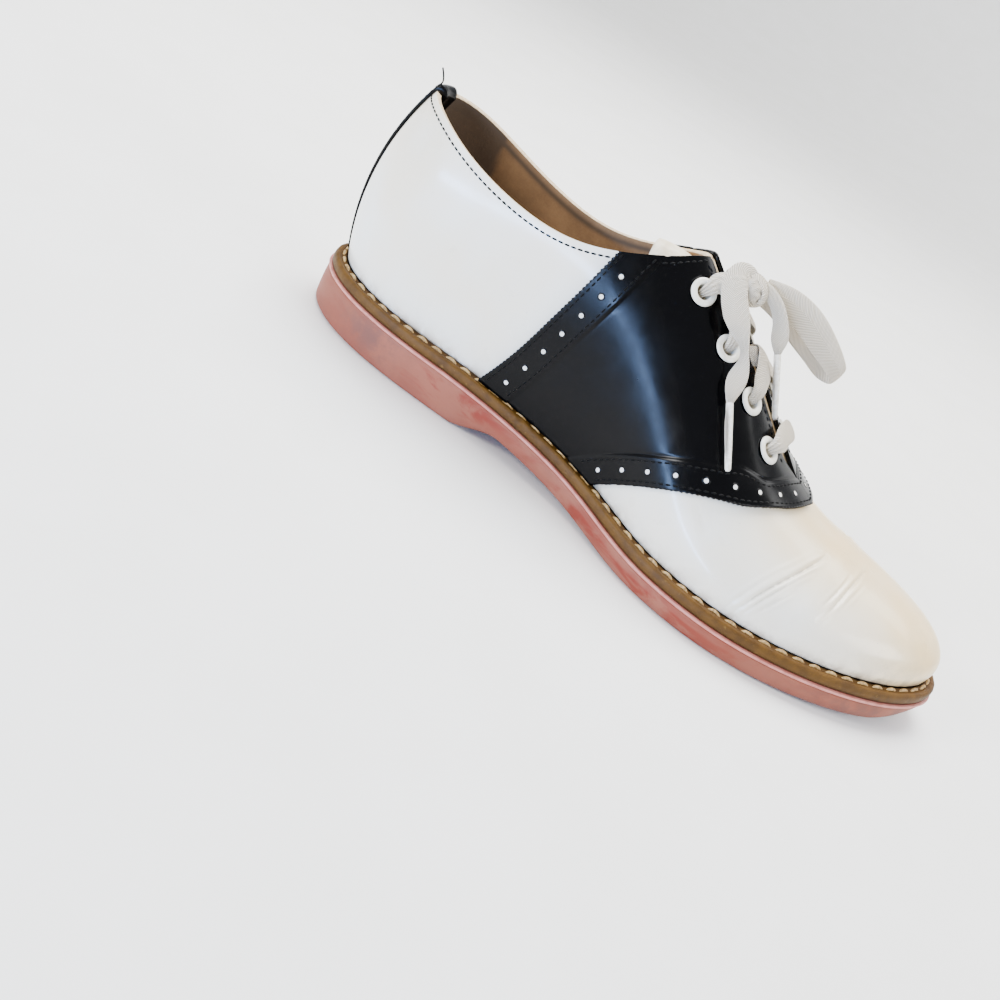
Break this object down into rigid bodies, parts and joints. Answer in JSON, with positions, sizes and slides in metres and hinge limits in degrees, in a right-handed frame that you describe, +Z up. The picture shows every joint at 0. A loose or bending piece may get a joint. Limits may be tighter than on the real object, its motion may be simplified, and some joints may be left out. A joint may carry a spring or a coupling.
{
  "type": "saddle shoe",
  "caption": "White leather saddle shoe for the right foot with a black saddle, pink rubber sole, stitched tan welt and flat cotton laces tied in a bow.",
  "frame": {"origin": "middle of the shoe's footprint, on the floor", "axes": "+X to the toe, +Y to the inner side of the foot, +Z up"},
  "size_m": [0.2813, 0.0978, 0.1007],
  "materials": {
    "outsole": "matt",
    "welt": "matt",
    "insole": "matt",
    "upper": "semi-gloss",
    "saddle": "gloss",
    "tongue": "satin",
    "back_strip": "semi-gloss",
    "eyelet": "gloss",
    "lace": "matt",
    "aglet": "gloss"
  },
  "bodies": {
    "root": {"outsole": "outsole", "welt": "welt", "insole": "insole", "upper": "upper", "saddle": "saddle", "tongue": "tongue", "back_strip": "back_strip", "eyelet_lateral_1": "eyelet", "eyelet_lateral_2": "eyelet", "eyelet_lateral_3": "eyelet", "eyelet_lateral_4": "eyelet", "eyelet_medial_1": "eyelet", "eyelet_medial_2": "eyelet", "eyelet_medial_3": "eyelet", "eyelet_medial_4": "eyelet", "lace_bar_top": "lace", "lace_crossing_upper": "lace", "lace_crossing_lower": "lace", "lace_bar_low": "lace", "bow_knot": "lace", "bow_end_lateral": "lace", "bow_end_medial": "lace", "bow_loop_medial": "lace", "aglet_lateral": "aglet", "aglet_medial": "aglet"}
  },
  "joints": []
}
